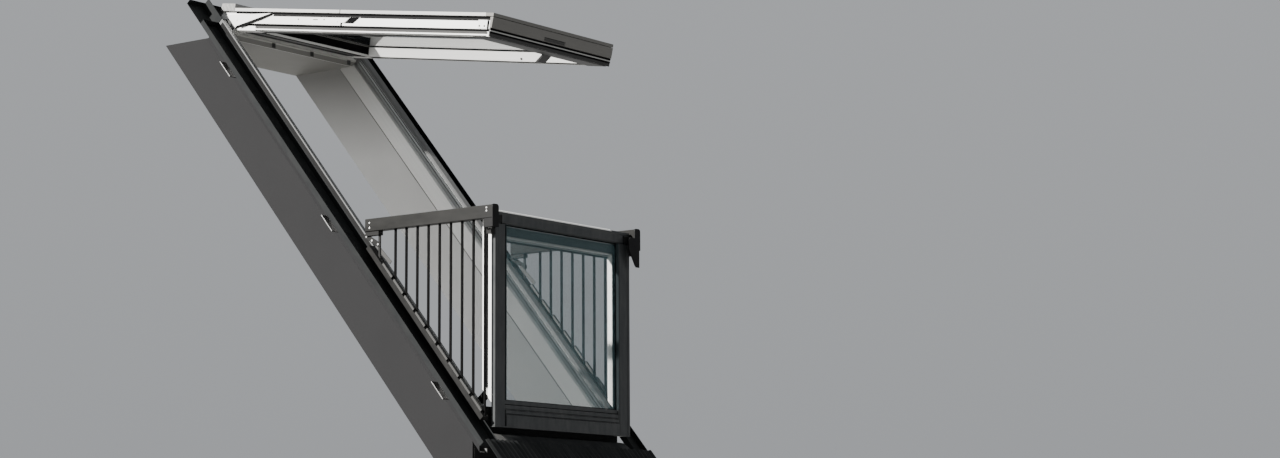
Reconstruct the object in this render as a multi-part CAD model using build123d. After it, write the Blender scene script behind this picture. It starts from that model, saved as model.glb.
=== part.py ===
from build123d import *
import os
from math import cos, radians, sin, tan

# Balcony roof window, open: the upper sash is raised like a canopy, the lower
# sash stands upright as a balustrade and the side railings are unfolded.
# Millimetres. X runs along the eaves, Y into the roof, Z up. The origin is the
# middle of the flat underside of the bottom mounting flange.
#
# Three flat frames share one habit: x across, y up the piece, z outwards.
# The fixed frame lies in the roof, the upper sash in its own raised plane and
# the lower sash in an upright plane. Each is modelled flat and then placed.

# Fixed frame
roof_pitch = 50.0
frame_width = 942.0
frame_length = 2520.0
frame_start = 30.0
jamb_width = 50.0
frame_depth = 113.0
fin_width = 24.0
rebate_depth = 38.0
head_height = 45.0
head_rebate_depth = 13.0
head_lip_depth = 51.0
sill_height = 85.0
sill_start = 10.0
sill_top_drop = 33.0
deck_to_timber = 68.0
fit = 0.3

# Covers on the fixed frame
cover_rise = 16.0
cover_lap = 32.0
cover_leg = 8.0
cover_sheet = 3.0
cover_lip = 6.0
cover_slope_width = 7.0
cover_slope_rise = 12.0

# Linings of the opening in the room
lining_thickness = 12.0
lining_depth = 225.0
lining_setback = 3.0
groove_depth = 10.0
bottom_lining_drop = 150.0

# Lower sash, upright in the open window
lower_height = 904.0
sash_side_gap = 7.0
lower_thickness = 70.0
lower_foot_out = 80.0
lower_clad = 20.0
lower_stile_width = 70.0
lower_side_cover_width = 75.0
lower_top_rail_height = 100.0
lower_top_rail_drop = 4.0
lower_top_cover_height = 53.0
lower_bottom_rail_height = 115.0
lower_stile_lift = 6.0
lower_timber_drop = 4.0
seal_face_setback = 3.0
seal_groove_start = 21.0
seal_groove_end = 30.0
seal_groove_depth = 8.0
side_cover_edge_drop = 9.0
side_cover_slope = 8.0
side_cover_face_drop = 3.0
side_cover_bead = 15.0
side_cover_bead_slope = 4.0
top_cover_edge_drop = 8.0
top_cover_slope = 7.0
top_cover_face_drop = 2.0
top_cover_bead = 14.0
top_cover_bead_slope = 3.0
top_cover_back_stop = 10.0
top_cover_sheet = 3.0
lower_pane_thickness = 24.0
pane_edge_cover = 13.0
cover_over_pane = 10.0
ledge_start = 55.0
ledge_pitch = 19.0
ledge_step = 4.0
ledge_slope = 2.0
ledge_count = 3
hinge_gap = 8.0
stile_foot_out = 128.0
strap_width = 12.0
strap_start = 160.0
strap_length = 34.0

# Upper sash, raised in the open window
upper_tilt = 8.6
upper_side_gap = 59.0
upper_length = 1645.0
upper_hinge_beyond = 103.0
upper_hinge_out = 75.0
upper_thickness = 101.0
upper_clad = 15.0
upper_stile_width = 70.0
upper_side_cover_width = 76.0
upper_cover_overhang = 7.0
upper_cover_edge_drop = 8.0
upper_cover_slope = 10.0
upper_channel_depth = 6.0
upper_seal_depth = 12.0
upper_seal_low = 80.0
upper_lip_setback = 4.0
upper_top_rail_height = 233.0
upper_bottom_rail_height = 95.0
upper_pane_thickness = 36.0
upper_pane_drop = 17.0
upper_end_gap = 12.0
end_cover_length = 42.0
end_cover_lap = 6.0
hood_start = 8.0
hood_end = 101.0
hood_rise = 20.0
hood_sheet = 2.5
hood_slant = 8.0
front_cover_height = 48.0
front_cover_reach = 16.0
front_cover_drop = 17.0
front_cover_undercut = 4.0

# Clearance of the raised sash to the frame head: places down the sash and depths
head_clear_foot = 104.0
head_clear_heel = 98.0
head_clear_heel_drop = 82.0
head_clear_top = 82.0
head_clear_top_drop = 54.0
cut_margin = 1.0

# Hinge fittings of the upper sash
arm_thickness = 5.0
arm_root = 346.0
arm_root_low = 238.0
arm_shoulder = 774.0
arm_tip_low = 796.0
arm_tip = 831.0
arm_top = 31.0
arm_waist = 57.0
arm_bottom = 70.0
plate_root = 55.0
plate_tip = 335.0
plate_foot = 102.0
plate_root_drop = 34.0
plate_tip_drop = 21.0
plate_foot_drop = 89.0
strut_depth = 12.0
strut_root = 40.0
hinge_lug_start = 1.0
hinge_lug_length = 18.0
hinge_lug_rise = 32.0
handle_width = 53.0
handle_place = 92.0
handle_reach = 36.0
handle_drop = 37.0
handle_thickness = 12.0

# Side railings
handrail_height = 55.0
handrail_width = 39.0
handrail_wall = 2.5
handrail_rise = 17.0
handrail_gap = 9.0
handrail_reach = 21.5
handrail_back_inset = 15.16
bar_count = 9
bar_pitch = 62.2
first_bar = 32.0
bar_width = 11.0
bar_thickness = 6.0
link_gap = 15.0
link_height = 10.0
link_inset = 2.0
base_rail_height = 22.0
base_rail_width = 37.0
base_rail_rise = 4.0
base_rail_tail = 2.2
cap_thickness = 4.0
cap_height = 96.0
cap_radius = 12.0
cap_rise = 3.0
cap_margin = 1.0
post_head_height = 38.0
post_head_inset = 2.0
lock_foot = 173.0
lock_width = 26.0
fin_reach = 45.0
fin_top = 40.0
fin_bottom = 166.0
bracket_drop = 96.0
bracket_height = 22.0
rear_bracket_length = 75.0
rear_bracket_height = 18.0
rear_bracket_inset = 4.0

# Flashing and mounting brackets
sheet = 1.5
flashing_floor = 32.0
flashing_width = 100.0
flashing_upstand = 25.0
head_flashing_length = 140.0
apron_rise = 72.0
apron_length = 150.0
apron_tuck = 25.0
apron_fold_start = 10.0
apron_fold_drop = 14.0
skirt_lap = 1.0
upstand_rise = 90.0
pleat_pitch = 30.0
pleat_height = 6.0
flange_length = 80.0
flange_width = 600.0
flange_sheet = 4.0
flange_hole = 4.5
flange_hole_spacing = 160.0
side_bracket_length = 100.0
side_bracket_reach = 90.0
side_bracket_hole_place = 0.6
side_bracket_play = 2.0
side_bracket_places = (300.0, 1290.0, 2280.0)

# Places that follow from the sizes
half_frame = frame_width / 2
half_opening = half_frame - jamb_width
half_sash = half_frame - sash_side_gap
half_upper = half_frame - upper_side_gap
half_cover = half_upper + upper_cover_overhang
arm_inner = half_upper + fit
arm_outer = arm_inner + arm_thickness
rail_inner = half_sash + handrail_gap
rail_outer = rail_inner + handrail_width
timber_back = deck_to_timber - frame_depth
rebate_floor = deck_to_timber - rebate_depth
frame_top = frame_start + frame_length
upper_hinge_along = frame_top + upper_hinge_beyond
handrail_top = lower_height + handrail_rise
rail_run = (handrail_top - handrail_height) / tan(radians(roof_pitch))
handrail_length = rail_run - handrail_back_inset
head_inner = frame_top - head_height
cover_top = deck_to_timber + cover_rise
cover_outer = half_frame + cover_sheet
head_rebate_out = deck_to_timber - head_rebate_depth
slope_cos = cos(radians(roof_pitch))
slope_sin = sin(radians(roof_pitch))


def roof_y(along, out):
    """Level distance into the roof of a point up the slope and out of it."""
    return along * slope_cos - out * slope_sin


def roof_z(along, out):
    """Height of a point up the slope and out of it."""
    return along * slope_sin + out * slope_cos


# Front bottom edge of the lower sash, just under the top of the frame covers
foot_y = roof_y(frame_start, lower_foot_out)
foot_z = roof_z(frame_start, lower_foot_out)
sash_back_y = foot_y + lower_thickness
plumb_y = sash_back_y + hinge_gap

roof_place = Location((0, 0, 0), (roof_pitch, 0, 0))
lower_place = Location((0, foot_y, foot_z), (90, 0, 0))
upper_place = Location(
    (0, roof_y(upper_hinge_along, upper_hinge_out), roof_z(upper_hinge_along, upper_hinge_out)),
    (upper_tilt, 0, 0),
)


def block(x0, x1, y0, y1, z0, z1):
    """A box between two corners."""
    size = Box(x1 - x0, y1 - y0, z1 - z0)
    return Pos((x0 + x1) / 2, (y0 + y1) / 2, (z0 + z1) / 2) * size


def along(points, y0, y1):
    """A bar along y with its section drawn in x and z."""
    section = make_face(Polyline(*points, close=True))
    plane = Plane(origin=(0, y1, 0), x_dir=(1, 0, 0), z_dir=(0, -1, 0))
    return extrude(plane * section, amount=y1 - y0)


def across(points, x0, x1):
    """A bar along x with its section drawn in y and z."""
    section = make_face(Polyline(*points, close=True))
    plane = Plane(origin=(x0, 0, 0), x_dir=(0, 1, 0), z_dir=(1, 0, 0))
    return extrude(plane * section, amount=x1 - x0)


def save(name, shape):
    """Write one piece under its own name."""
    export_step(shape, f"parts/{name}.step")


def save_pair(name, right):
    """Write the right-hand piece and its mirror image."""
    save(f"right_{name}", right)
    save(f"left_{name}", mirror(right, about=Plane.YZ))


def both(right):
    """The right-hand piece and its mirror image as one shape."""
    return Compound(children=[*right.solids(), *mirror(right, about=Plane.YZ).solids()])


def below_plumb_cut():
    """Everything in front of the upright plane behind the lower sash."""
    reach = frame_length
    return block(-reach, reach, plumb_y - reach, plumb_y, -reach, reach)


def frame_jamb():
    """Timber side of the frame, stepped for the sash and grooved for the lining."""
    inner = half_opening
    outer = half_frame
    section = [
        (inner, timber_back),
        (inner, rebate_floor),
        (outer - fin_width, rebate_floor),
        (outer - fin_width, deck_to_timber),
        (outer, deck_to_timber),
        (outer, timber_back),
    ]
    jamb = along(section, frame_start - frame_depth, frame_top)
    groove_inner = half_opening + lining_setback - fit
    groove_outer = half_opening + lining_setback + lining_thickness + fit
    jamb -= block(
        groove_inner, groove_outer,
        frame_start - frame_depth, frame_top,
        timber_back, timber_back + groove_depth,
    )
    return roof_place * jamb - below_plumb_cut()


# Level plane of the head lining, set out from the inner face of the head
head_lip_out = deck_to_timber - head_lip_depth
head_lining_z = roof_z(head_inner, head_lip_out)


def frame_head():
    """Timber head of the frame, cut level underneath for the head lining."""
    section = [
        (head_inner, timber_back),
        (head_inner, head_rebate_out),
        (frame_top - fin_width, head_rebate_out),
        (frame_top - fin_width, deck_to_timber),
        (frame_top, deck_to_timber),
        (frame_top, timber_back),
    ]
    head = roof_place * across(section, -half_opening + fit, half_opening - fit)
    reach = frame_length
    level = head_lining_z + lining_thickness
    return head - block(-reach, reach, -reach, reach, level - reach, level)


def frame_sill():
    """Timber sill of the frame, cut plumb behind the lower sash."""
    top = deck_to_timber - sill_top_drop
    sill = block(
        -half_opening + fit, half_opening - fit,
        frame_start + sill_start, frame_start + sill_start + sill_height,
        timber_back, top,
    )
    return roof_place * sill - below_plumb_cut()


def jamb_cover():
    """Metal cover on a jamb, with a leg down the outside."""
    inner = half_frame - cover_lap
    section = [
        (inner, deck_to_timber),
        (inner, deck_to_timber + cover_lip),
        (inner + cover_slope_width, deck_to_timber + cover_slope_rise),
        (cover_outer, cover_top),
        (cover_outer, deck_to_timber - cover_leg),
        (half_frame + fit, deck_to_timber - cover_leg),
        (half_frame + fit, deck_to_timber),
    ]
    cover = along(section, frame_start - frame_depth, frame_top)
    return roof_place * cover - below_plumb_cut()


def head_cover():
    """Metal cover on the head, with a leg down the outside."""
    start = frame_top - fin_width
    section = [
        (start, deck_to_timber),
        (start, deck_to_timber + cover_lip),
        (start + cover_slope_width, deck_to_timber + cover_slope_rise),
        (frame_top + cover_sheet, cover_top),
        (frame_top + cover_sheet, deck_to_timber - cover_leg),
        (frame_top + fit, deck_to_timber - cover_leg),
        (frame_top + fit, deck_to_timber),
    ]
    clear = half_frame - cover_lap - fit
    return roof_place * across(section, -clear, clear)


def side_lining():
    """White board on a side of the opening, level at the top and at the foot."""
    inner = half_opening + lining_setback
    front = timber_back + groove_depth - fit
    back = timber_back - lining_depth
    top = head_lining_z + lining_thickness
    foot_front_y = bottom_lining_y()
    foot = bottom_lining_top_z() - bottom_lining_drop

    def on_slope(height, out):
        return (height - out * slope_cos) / slope_sin

    front_along = (foot_front_y + front * slope_sin) / slope_cos
    outline = [
        (foot_front_y, foot),
        (foot_front_y, roof_z(front_along, front)),
        (roof_y(on_slope(top, front), front), top),
        (roof_y(on_slope(top, back), back), top),
        (roof_y(on_slope(foot, back), back), foot),
    ]
    return across(outline, inner, inner + lining_thickness)


def bottom_lining_y():
    """Front of the upright lining under the sill."""
    sill_end = frame_start + sill_start + sill_height
    return roof_y(sill_end, timber_back) - lining_thickness


def bottom_lining_top_z():
    """Height of the back bottom corner of the sill."""
    sill_end = frame_start + sill_start + sill_height
    return roof_z(sill_end, timber_back)


def bottom_lining():
    """White upright board from the sill down to the floor."""
    front = bottom_lining_y()
    top = bottom_lining_top_z()
    foot = top - bottom_lining_drop
    outline = [
        (front, foot),
        (front, top - lining_thickness * tan(radians(roof_pitch))),
        (front + lining_thickness, top),
        (front + lining_thickness, foot),
    ]
    clear = half_opening + lining_setback - fit
    return across(outline, -clear, clear)


def head_lining():
    """White level board from the head back into the room."""
    back = timber_back - lining_depth
    low = head_lining_z
    high = head_lining_z + lining_thickness

    def back_y(height):
        return roof_y((height - back * slope_cos) / slope_sin, back)

    def front_y(height):
        return (head_inner - height * slope_sin) / slope_cos

    outline = [
        (front_y(low), low),
        (front_y(high), high),
        (back_y(high), high),
        (back_y(low), low),
    ]
    clear = half_opening + lining_setback - fit
    board = across(outline, -clear, clear)
    reach = frame_length
    beside_jamb = block(
        half_opening - fit, half_frame,
        0, 2 * reach,
        timber_back - fit, deck_to_timber,
    )
    return board - roof_place * both(beside_jamb)


def above_roof_line(out):
    """Everything above a plane that lies parallel to the roof."""
    reach = frame_length
    return roof_place * block(-reach, reach, -reach, reach, out, out + reach)


def lower_stile():
    """Upright white timber of the lower sash, its foot cut along the roof."""
    inner = half_sash - lower_stile_width
    back = -lower_thickness
    pane_back = -lower_clad - lower_pane_thickness
    section = [
        (inner, back),
        (inner, pane_back),
        (inner + pane_edge_cover + fit, pane_back),
        (inner + pane_edge_cover + fit, -lower_clad),
        (half_sash - seal_face_setback, -lower_clad),
        (half_sash - seal_face_setback, -lower_clad - seal_groove_start),
        (half_sash - seal_groove_depth, -lower_clad - seal_groove_start),
        (half_sash - seal_groove_depth, -lower_clad - seal_groove_end),
        (half_sash, -lower_clad - seal_groove_end),
        (half_sash, back),
    ]
    stile = lower_place * along(section, lower_stile_lift, lower_height - lower_timber_drop)
    return stile & above_roof_line(stile_foot_out)


pane_low = lower_bottom_rail_height - pane_edge_cover
pane_high = lower_height - lower_top_cover_height + cover_over_pane


def lower_rail(low, high, pane_edge):
    """Level white timber of the lower sash, rebated up or down to the pane edge."""
    pane_back = -lower_clad - lower_pane_thickness
    inner = half_sash - lower_stile_width - fit
    if pane_edge > high - pane_edge_cover - fit:
        pane_edge -= fit
        section = [
            (low, -lower_thickness), (low, -lower_clad), (pane_edge, -lower_clad),
            (pane_edge, pane_back), (high, pane_back), (high, -lower_thickness),
        ]
    else:
        pane_edge += fit
        section = [
            (low, -lower_thickness), (low, pane_back), (pane_edge, pane_back),
            (pane_edge, -lower_clad), (high, -lower_clad), (high, -lower_thickness),
        ]
    return lower_place * across(section, -inner, inner)


def lower_pane():
    """Glazing unit of the lower sash."""
    half = half_sash - lower_stile_width + pane_edge_cover
    front = -lower_clad - fit
    back = -lower_clad - lower_pane_thickness + fit
    return lower_place * block(-half, half, pane_low, pane_high, back, front)


def lower_side_cover():
    """Dark metal on the outside of a lower stile."""
    inner = half_sash - lower_side_cover_width
    section = [
        (inner, -lower_clad), (inner, -side_cover_edge_drop),
        (inner + side_cover_slope, -side_cover_face_drop),
        (half_sash - side_cover_bead, -side_cover_face_drop),
        (half_sash - side_cover_bead + side_cover_bead_slope, 0),
        (half_sash, 0), (half_sash, -lower_clad),
    ]
    top = lower_height - lower_top_cover_height - fit
    return lower_place * along(section, lower_stile_lift, top)


def lower_top_cover():
    """Dark metal along the top of the lower sash."""
    low = lower_height - lower_top_cover_height
    high = lower_height
    back = -lower_thickness + top_cover_back_stop
    section = [
        (low, -lower_clad), (low, -top_cover_edge_drop),
        (low + top_cover_slope, -top_cover_face_drop),
        (high - top_cover_bead, -top_cover_face_drop),
        (high - top_cover_bead + top_cover_bead_slope, 0), (high, 0), (high, back),
        (high - top_cover_sheet, back), (high - top_cover_sheet, -lower_clad),
    ]
    return lower_place * across(section, -half_sash, half_sash)


def lower_bottom_cover():
    """Dark metal along the foot of the lower sash, stepped like drip ledges."""
    section = [(0, -lower_clad), (0, 0)]
    depth = 0.0
    for index in range(ledge_count):
        place = ledge_start + index * ledge_pitch
        section.append((place, -depth))
        depth += ledge_step
        section.append((place + ledge_slope, -depth))
    section += [(lower_bottom_rail_height, -depth), (lower_bottom_rail_height, -lower_clad)]
    clear = half_sash - lower_side_cover_width - fit
    lip = block(-half_sash, half_sash, 0, lower_stile_lift - fit, -lower_clad, 0)
    return lower_place * (across(section, -clear, clear) + lip)


def bottom_hinge():
    """Strap from the slanting foot of a stile down onto the cover of the jamb."""
    inner = half_frame - cover_lap + fit
    strap = block(inner, inner + strap_width, strap_start, strap_start + strap_length,
                  deck_to_timber, stile_foot_out)
    return roof_place * strap - jamb_cover()


def below_head():
    """Wedge that the back edge of the raised sash gives up to the frame head."""
    low = -upper_thickness
    outline = [
        (-head_clear_foot, low - cut_margin), (-head_clear_foot, low),
        (-head_clear_heel, -head_clear_heel_drop), (-head_clear_top, -head_clear_top_drop),
        (cut_margin, -head_clear_top_drop), (cut_margin, low - cut_margin),
    ]
    return across(outline, -half_frame, half_frame)


def upper_stile():
    """White timber side of the upper sash, with the groove of its seal."""
    inner = half_upper - upper_stile_width
    pane_back = -upper_pane_drop - upper_pane_thickness
    section = [
        (inner, -upper_thickness), (inner, pane_back),
        (inner + pane_edge_cover + fit, pane_back),
        (inner + pane_edge_cover + fit, -upper_clad),
        (half_upper - upper_channel_depth, -upper_clad),
        (half_upper - upper_channel_depth, -arm_top), (half_upper, -arm_top),
        (half_upper, -arm_bottom), (half_upper - upper_seal_depth, -arm_bottom),
        (half_upper - upper_seal_depth, -upper_seal_low),
        (half_upper - upper_lip_setback, -upper_seal_low),
        (half_upper - upper_lip_setback, -upper_thickness),
    ]
    return upper_place * (along(section, -upper_length, -upper_end_gap) - below_head())


def upper_rail(near, far, pane_side_near):
    """White timber across the upper sash, from near the hinge to far from it."""
    pane_back = -upper_pane_drop - upper_pane_thickness
    edge = pane_edge_cover + fit
    if pane_side_near:
        section = [
            (-near, -upper_thickness), (-near, pane_back), (-near - edge, pane_back),
            (-near - edge, -upper_clad), (-far, -upper_clad), (-far, -upper_thickness),
        ]
    else:
        section = [
            (-near, -upper_thickness), (-near, -upper_clad), (-far + edge, -upper_clad),
            (-far + edge, pane_back), (-far, pane_back), (-far, -upper_thickness),
        ]
    inner = half_upper - upper_stile_width - fit
    return upper_place * (across(section, -inner, inner) - below_head())


def upper_pane():
    """Glazing unit of the upper sash."""
    half = half_upper - upper_stile_width + pane_edge_cover
    near = upper_end_gap + upper_top_rail_height - pane_edge_cover
    far = upper_length - upper_bottom_rail_height + pane_edge_cover
    high = -upper_pane_drop
    low = -upper_pane_drop - upper_pane_thickness + fit
    return upper_place * block(-half, half, -far, -near, low, high)


def upper_side_cover():
    """Metal cover on a side of the upper sash, from the hood to the end cover."""
    inner = half_upper - upper_side_cover_width
    section = [
        (inner, -upper_clad), (inner, -upper_cover_edge_drop), (inner + upper_cover_slope, 0),
        (half_cover, 0), (half_cover, -upper_clad),
    ]
    far = upper_length + front_cover_reach - end_cover_length
    return upper_place * along(section, -far + fit, -hood_end - fit)


def upper_end_cover():
    """Metal cover over the outer rail, over the whole width of the upper sash."""
    far = upper_length + front_cover_reach
    inner = far - end_cover_length
    section = [(-inner, -upper_clad), (-inner, 0), (-far, 0), (-far, -upper_clad)]
    near = upper_length - upper_bottom_rail_height - end_cover_lap
    over_rail = [
        (-inner, -upper_clad), (-near, -upper_clad), (-near, -upper_cover_edge_drop),
        (-near - upper_cover_slope, 0), (-inner, 0),
    ]
    clear = half_upper - upper_side_cover_width - fit
    cover = across(section, -half_cover, half_cover) + across(over_rail, -clear, clear)
    return upper_place * cover


def upper_front_cover():
    """Metal front of the outer rail, standing on end above its seal."""
    high = -front_cover_drop
    low = high - front_cover_height
    far = upper_length + front_cover_reach
    section = [
        (-upper_length, high), (-far, high), (-far + front_cover_undercut, low),
        (-upper_length, low),
    ]
    return upper_place * across(section, -half_cover, half_cover)


def hood():
    """Box-shaped metal hood over the hinged end of the upper sash, open below."""
    low = -upper_clad
    section = [
        (-hood_end, low), (-hood_end, hood_rise), (-hood_start - hood_slant, hood_rise),
        (-hood_start, low),
    ]
    under = low - cut_margin
    inside = [
        (-hood_end + hood_sheet, under), (-hood_end + hood_sheet, hood_rise - hood_sheet),
        (-hood_start - hood_slant - hood_sheet, hood_rise - hood_sheet),
        (-hood_start - hood_sheet, under),
    ]
    clear = half_cover - hood_sheet
    shell = across(section, -half_cover, half_cover) - across(inside, -clear, clear)
    return upper_place * shell


def hinge_arm():
    """Arm on the side of the upper sash, from its hinge to its middle pivot."""
    outline = [
        (-arm_root, -arm_top), (-arm_tip, -arm_top), (-arm_tip_low, -arm_waist),
        (-arm_shoulder, -arm_waist), (-arm_shoulder, -arm_bottom), (-arm_root_low, -arm_bottom),
    ]
    return upper_place * across(outline, arm_inner, arm_outer)


def hinge_plate():
    """Three-cornered plate between the frame head and the raised sash."""
    outline = [
        (-plate_root, -plate_root_drop), (-plate_tip, -plate_tip_drop),
        (-plate_foot, -plate_foot_drop),
    ]
    return upper_place * across(outline, arm_inner, arm_outer) - head_cover()


def head_hinge():
    """Steel lug between the rebate of the frame head and the hinge plate above it."""
    start = head_inner + hinge_lug_start
    lug = block(arm_inner, arm_outer, start, start + hinge_lug_length,
                head_rebate_out, cover_top + hinge_lug_rise)
    return roof_place * lug - hinge_plate()


def strut():
    """Slim stay along the open edge of the hinge plate."""
    run = plate_tip - plate_foot
    rise = plate_foot_drop - plate_tip_drop
    size = (run ** 2 + rise ** 2) ** 0.5
    root_y = -plate_foot - strut_root * run / size
    root_z = -plate_foot_drop + strut_root * rise / size
    off_y = -strut_depth * rise / size
    off_z = -strut_depth * run / size
    outline = [
        (root_y, root_z), (-plate_tip, -plate_tip_drop),
        (-plate_tip + off_y, -plate_tip_drop + off_z), (root_y + off_y, root_z + off_z),
    ]
    return upper_place * across(outline, arm_inner, arm_outer)


def handle():
    """Pull handle that leans down and inwards from the inner edge of the outer rail."""
    root = -upper_length + upper_bottom_rail_height
    high = -upper_thickness
    low = high - handle_drop
    outline = [
        (root - handle_thickness, high), (root, high),
        (root + handle_reach, low), (root + handle_reach - handle_thickness, low),
    ]
    half = handle_width / 2
    return upper_place * across(outline, handle_place - half, handle_place + half)


def handrail():
    """Hollow rectangular top rail of a side railing."""
    y0 = foot_y - handrail_reach
    y1 = y0 + handrail_length
    z1 = foot_z + handrail_top
    z0 = z1 - handrail_height
    tube = block(rail_inner, rail_outer, y0, y1, z0, z1)
    wall = handrail_wall
    hole = block(rail_inner + wall, rail_outer - wall, y0, y1 - wall, z0 + wall, z1 - wall)
    return tube - hole


def rail_middle():
    """Middle of the railing bars across X."""
    return (rail_inner + rail_outer) / 2


base_rail_top = cover_top + base_rail_rise


def balusters():
    """Upright flat bars of a side railing, each standing on the sloping base."""
    high = foot_z + handrail_top - handrail_height
    low = foot_z - handrail_height
    middle = rail_middle()
    bars = []
    for index in range(bar_count):
        y = foot_y + first_bar + index * bar_pitch
        bars.append(block(middle - bar_thickness / 2, middle + bar_thickness / 2,
                          y - bar_width / 2, y + bar_width / 2, low, high))
    reach = frame_length
    under = roof_place * block(0, reach, -reach, reach, base_rail_top - reach, base_rail_top)
    return Compound(children=[solid for bar in bars for solid in (bar - under).solids()])


def bar_foot_along(index):
    """Place up the slope where a bar meets the base rail."""
    y = foot_y + first_bar + index * bar_pitch
    return (y + base_rail_top * slope_sin) / slope_cos


def bracket_foot_along():
    """Place up the slope where the upright of the rear bracket ends."""
    y = foot_y - handrail_reach + handrail_length - rear_bracket_length + bar_width
    return (y + base_rail_top * slope_sin) / slope_cos


def base_rail():
    """Sloping base of a side railing on the outside of the jamb."""
    inner = cover_outer + fit
    start = bar_foot_along(0) - bar_width
    bars_end = bar_foot_along(bar_count - 1) + base_rail_tail * bar_pitch / slope_cos
    end = max(bars_end, bracket_foot_along())
    return roof_place * block(inner, inner + base_rail_width, start, end,
                              base_rail_top - base_rail_height, base_rail_top)


def foot_links():
    """Short metal strips on the base rail, one beside the foot of each bar."""
    inner = rail_middle() + bar_thickness / 2 + fit
    outer = cover_outer + fit + base_rail_width - link_inset
    links = []
    for index in range(bar_count):
        start = bar_foot_along(index) + link_gap
        end = bar_foot_along(index + 1)
        links.append(roof_place * block(inner, outer, start, end,
                                        base_rail_top, base_rail_top + link_height))
    return Compound(children=[solid for link in links for solid in link.solids()])


def rear_bracket():
    """Short block under the back end of the handrail, on its last upright."""
    middle = rail_middle()
    half = base_rail_width / 2 - rear_bracket_inset
    z1 = foot_z + handrail_top - handrail_height
    y1 = foot_y - handrail_reach + handrail_length
    head = block(middle - half, middle + half, y1 - rear_bracket_length, y1,
                 z1 - rear_bracket_height, z1)
    reach = frame_length
    upright = block(middle - bar_thickness / 2, middle + bar_thickness / 2,
                    y1 - rear_bracket_length, y1 - rear_bracket_length + bar_width,
                    foot_z, z1 - rear_bracket_height)
    under = roof_place * block(0, reach, -reach, reach, base_rail_top - reach, base_rail_top)
    return head + (upright - under)


def front_cap():
    """Rounded black cap on the front end of a handrail, with the head of its post."""
    high = foot_z + handrail_top + cap_rise
    low = high - cap_height
    y_back = foot_y - handrail_reach
    plate = block(rail_inner - cap_margin, rail_outer + cap_margin,
                  y_back - cap_thickness, y_back, low, high)
    top_edges = plate.edges().filter_by(Axis.Y).sort_by(Axis.Z)[-2:]
    plate = fillet(top_edges, cap_radius)
    under = foot_z + handrail_top - handrail_height
    post_head = block(rail_inner + post_head_inset, rail_outer - post_head_inset,
                      y_back, foot_y + first_bar - bar_width / 2,
                      under - post_head_height, under)
    return plate + post_head


def lock_plate():
    """Black plate under the right cap with a tapering fin before the sash."""
    high = foot_z + handrail_top + cap_rise - cap_height
    low = foot_z + handrail_top + cap_rise - lock_foot
    y_back = foot_y - handrail_reach
    middle = rail_middle()
    inner = middle - lock_width / 2
    fin_high = foot_z + handrail_top - fin_top
    fin_low = foot_z + handrail_top - fin_bottom
    plate = block(inner, inner + lock_width, y_back - cap_thickness, y_back, low, high)
    fin = along(
        [
            (rail_inner - cap_margin - fit, high), (inner + cap_thickness, high),
            (inner + cap_thickness, fin_low), (inner - cap_thickness, fin_low),
            (rail_inner - fin_reach, high), (rail_inner - fin_reach, fin_high - cap_radius),
            (rail_inner - fin_reach + cap_radius, fin_high),
            (rail_inner - cap_margin - fit, fin_high),
        ],
        y_back - cap_thickness, y_back,
    )
    return plate + fin


def corner_bracket():
    """Spacer that ties the top corner of the lower sash to the front post."""
    high = foot_z + handrail_top - bracket_drop
    return block(half_sash, rail_middle(), foot_y, foot_y + first_bar - bar_width / 2,
                 high - bracket_height, high)


def side_flashing():
    """Bent sheet beside the frame that leads rain down past it."""
    inner = half_frame + fit
    outer = half_frame + flashing_width
    floor = flashing_floor
    high = deck_to_timber - cover_leg - fit
    section = [
        (inner, floor), (inner, high), (inner + sheet, high), (inner + sheet, floor + sheet),
        (outer - sheet, floor + sheet), (outer - sheet, floor + flashing_upstand),
        (outer, floor + flashing_upstand), (outer, floor),
    ]
    return roof_place * along(section, -flange_length / 2, frame_top)


def head_flashing():
    """Sheet above the head that turns rain aside, with two side flanges."""
    end = frame_top + head_flashing_length
    half = half_frame + flashing_width
    floor = flashing_floor
    high = deck_to_timber - cover_leg - fit
    section = [
        (frame_top + fit, floor), (frame_top + fit, high), (frame_top + fit + sheet, high),
        (frame_top + fit + sheet, floor + sheet), (end - sheet, floor + sheet),
        (end - sheet, floor + flashing_upstand), (end, floor + flashing_upstand),
        (end, floor),
    ]
    tray = across(section, -half, half)
    flange = block(half_frame, half_frame + cover_sheet, frame_top + cover_sheet + fit, end,
                   floor, cover_top)
    return roof_place * (tray + flange + mirror(flange, about=Plane.YZ))


def apron():
    """Sheet under the lower sash with a pleated skirt over the tiles below."""
    half = half_frame + flashing_width
    start = -flange_length / 2
    front_y = plumb_y - fit - sheet
    # The sheet leaves the plumb face of the sill well under the sash
    sill_out = deck_to_timber - sill_top_drop - apron_tuck
    sill_along = (front_y + sill_out * slope_sin) / slope_cos
    upper = [
        (sill_along, sill_out), (apron_fold_start, apron_rise - apron_fold_drop),
        (start, apron_rise),
    ]
    under = [(y, z - sheet) for y, z in upper]
    tray = across(upper + under[::-1], -half_opening, half_opening)
    reach = frame_length
    tray = roof_place * tray - block(-reach, reach, front_y, reach, -reach, reach)
    join = roof_z(sill_along, sill_out)
    upstand = block(-half_frame, half_frame, front_y, front_y + sheet,
                    join - 2 * sheet, foot_z + upstand_rise)
    count = int(2 * half / pleat_pitch)
    first = -count * pleat_pitch / 2
    top = []
    for index in range(2 * count + 1):
        crest = apron_rise + (pleat_height if index % 2 else 0)
        top.append((first + index * pleat_pitch / 2, crest))
    low = [(x, z - sheet) for x, z in top]
    skirt = along(top + low[::-1], start - apron_length, start + skirt_lap)
    return tray + upstand + roof_place * skirt


def flange_holes(x_places, y, radius):
    """Screw holes through a sheet lying on the roof deck."""
    return [Pos(x, y, flange_sheet / 2) * Cylinder(radius, 3 * flange_sheet) for x in x_places]


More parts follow.
